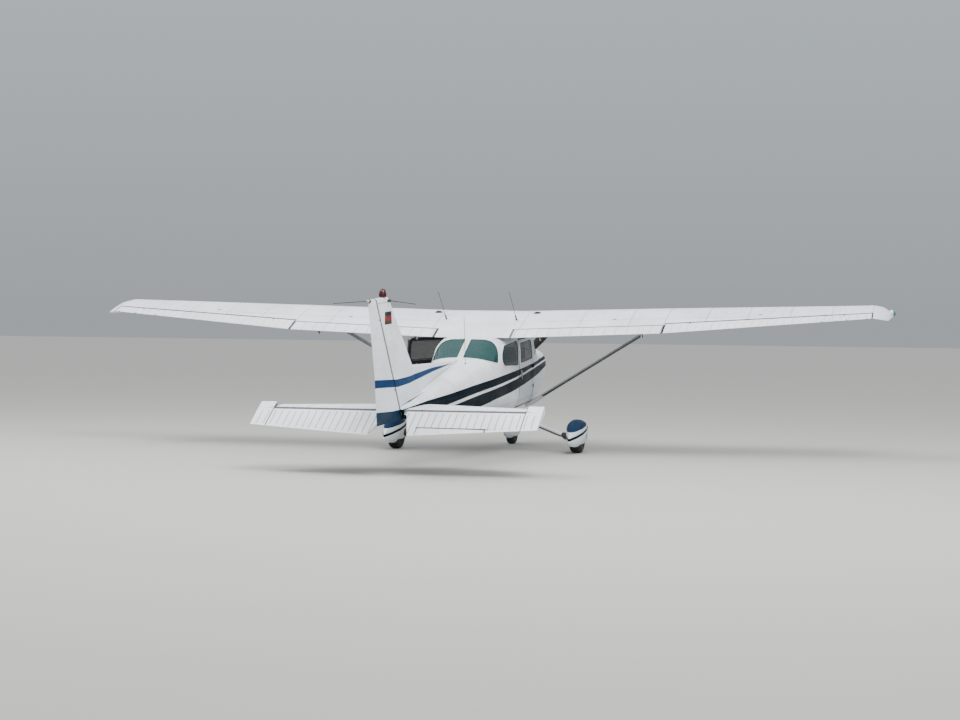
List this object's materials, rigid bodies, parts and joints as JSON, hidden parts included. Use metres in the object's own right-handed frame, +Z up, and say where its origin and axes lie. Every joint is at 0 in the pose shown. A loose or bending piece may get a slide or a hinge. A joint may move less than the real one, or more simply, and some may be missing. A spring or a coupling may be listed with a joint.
{
  "type": "light aircraft",
  "caption": "Four-seat light aircraft with a strut-braced high wing, swept tail, wraparound rear window and fixed tricycle gear with wheel fairings.",
  "frame": {"origin": "middle of the plan bounding box, on the ground under the aircraft", "axes": "+Z up, nose towards -Y, left wing towards +X"},
  "size_m": [10.994, 8.2525, 2.1825],
  "materials": {
    "white_paint": "gloss",
    "white_plastic": "gloss",
    "blue_plastic": "gloss",
    "tinted_glass": "gloss",
    "seat_cloth": "matte",
    "dark_trim": "matte",
    "aerial": "satin",
    "engine_metal": "satin",
    "exhaust_steel": "satin",
    "propeller_metal": "satin",
    "red_lens": "gloss",
    "tyre": "matte",
    "rim_metal": "satin"
  },
  "bodies": {
    "airframe": {"cabin": "white_paint", "tailcone": "white_paint", "cowling": "white_paint", "wing_left": "white_paint", "wing_right": "white_paint", "strut_left": "white_paint", "strut_right": "white_paint", "stabilizer": "white_paint", "fin": "white_paint", "gear_leg_left": "white_paint", "gear_leg_right": "white_paint", "nose_strut": "white_paint", "wing_tip_left": "white_plastic", "wing_tip_right": "white_plastic", "main_fairing_left": "blue_plastic", "main_fairing_right": "blue_plastic", "windshield": "tinted_glass", "rear_window_left": "tinted_glass", "rear_window_right": "tinted_glass", "side_window_left": "tinted_glass", "side_window_right": "tinted_glass", "front_seat_left": "seat_cloth", "front_seat_right": "seat_cloth", "rear_bench": "seat_cloth", "instrument_panel": "dark_trim", "navigation_aerial": "aerial", "locator_aerial": "aerial", "roof_aerial_left": "aerial", "roof_aerial_right": "aerial", "engine": "engine_metal", "exhaust": "exhaust_steel", "beacon": "red_lens"},
    "propeller": {"propeller": "propeller_metal", "spinner": "white_paint"},
    "main_wheel_left": {"main_tyre_left": "tyre", "main_rim_left": "rim_metal"},
    "main_wheel_right": {"main_tyre_right": "tyre", "main_rim_right": "rim_metal"},
    "nose_leg": {"nose_fork": "white_paint", "nose_fairing": "white_plastic"},
    "nose_wheel": {"nose_tyre": "tyre", "nose_rim": "rim_metal"},
    "door_left": {"door_left": "white_paint", "door_window_left": "tinted_glass"},
    "door_right": {"door_right": "white_paint", "door_window_right": "tinted_glass"},
    "baggage_door": {"baggage_door": "white_paint"},
    "aileron_left": {"aileron_left": "white_paint"},
    "aileron_right": {"aileron_right": "white_paint"},
    "flap_left": {"flap_left": "white_paint"},
    "flap_right": {"flap_right": "white_paint"},
    "elevator": {"elevator_left": "white_paint", "elevator_right": "white_paint"},
    "trim_tab": {"trim_tab": "white_paint"},
    "rudder": {"rudder": "white_paint"}
  },
  "joints": [
    {"name": "propeller_spin", "type": "hinge", "parent": "airframe", "child": "propeller", "pos_m": [0, -3.94158, 1.21197], "axis": [0, 0.9987, -0.0511], "continuous": true},
    {"name": "main_wheel_left_spin", "type": "hinge", "parent": "airframe", "child": "main_wheel_left", "pos_m": [1.285, -1.6255, 0.218], "axis": [1, 0, 0], "continuous": true},
    {"name": "main_wheel_right_spin", "type": "hinge", "parent": "airframe", "child": "main_wheel_right", "pos_m": [-1.285, -1.6255, 0.218], "axis": [1, 0, 0], "continuous": true},
    {"name": "nose_steer", "type": "hinge", "parent": "airframe", "child": "nose_leg", "pos_m": [0, -3.2855, 0.5], "axis": [0, 0, 1], "range_deg": [-30, 30]},
    {"name": "nose_wheel_spin", "type": "hinge", "parent": "nose_leg", "child": "nose_wheel", "pos_m": [0, -3.2855, 0.178], "axis": [1, 0, 0], "continuous": true},
    {"name": "door_left_hinge", "type": "hinge", "parent": "airframe", "child": "door_left", "pos_m": [0.524, -2.29145, 1.03539], "axis": [0, -0.0511, -0.9987], "range_deg": [-43.5, 26.5]},
    {"name": "door_right_hinge", "type": "hinge", "parent": "airframe", "child": "door_right", "pos_m": [-0.524, -2.29145, 1.03539], "axis": [0, 0.0511, 0.9987], "range_deg": [0, 70]},
    {"name": "baggage_door_hinge", "type": "hinge", "parent": "airframe", "child": "baggage_door", "pos_m": [0.52, -1.0147, 0.89995], "axis": [0, -0.0511, -0.9987], "range_deg": [0, 90]},
    {"name": "aileron_left_hinge", "type": "hinge", "parent": "airframe", "child": "aileron_left", "pos_m": [2.9, -1.0566, 1.75295], "axis": [-0.9939, 0.0873, -0.0681], "range_deg": [-20, 15]},
    {"name": "aileron_right_hinge", "type": "hinge", "parent": "airframe", "child": "aileron_right", "pos_m": [-2.9, -1.0566, 1.75295], "axis": [0.9939, 0.0873, -0.0681], "range_deg": [-15, 20]},
    {"name": "flap_left_hinge", "type": "hinge", "parent": "airframe", "child": "flap_left", "pos_m": [0.86, -1.11579, 1.54646], "axis": [-0.9991, -0.0021, -0.0414], "range_deg": [0, 40]},
    {"name": "flap_right_hinge", "type": "hinge", "parent": "airframe", "child": "flap_right", "pos_m": [-0.86, -1.11579, 1.54646], "axis": [-0.9991, 0.0021, 0.0414], "range_deg": [0, 40]},
    {"name": "elevator_hinge", "type": "hinge", "parent": "airframe", "child": "elevator", "pos_m": [0, 2.82704, 0.71834], "axis": [1, 0, 0], "range_deg": [0, 51]},
    {"name": "trim_tab_hinge", "type": "hinge", "parent": "elevator", "child": "trim_tab", "pos_m": [-0.7, 3.18767, 0.543], "axis": [1, 0, 0], "range_deg": [-13, 28]},
    {"name": "rudder_hinge", "type": "hinge", "parent": "airframe", "child": "rudder", "pos_m": [0, 3.34531, 1.30512], "axis": [0, 0.6012, 0.7991], "range_deg": [-17.7, 17.7]}
  ],
  "couplings": [
    {"joint": "flap_right_hinge", "follows": "flap_left_hinge", "ratio": 1}
  ]
}
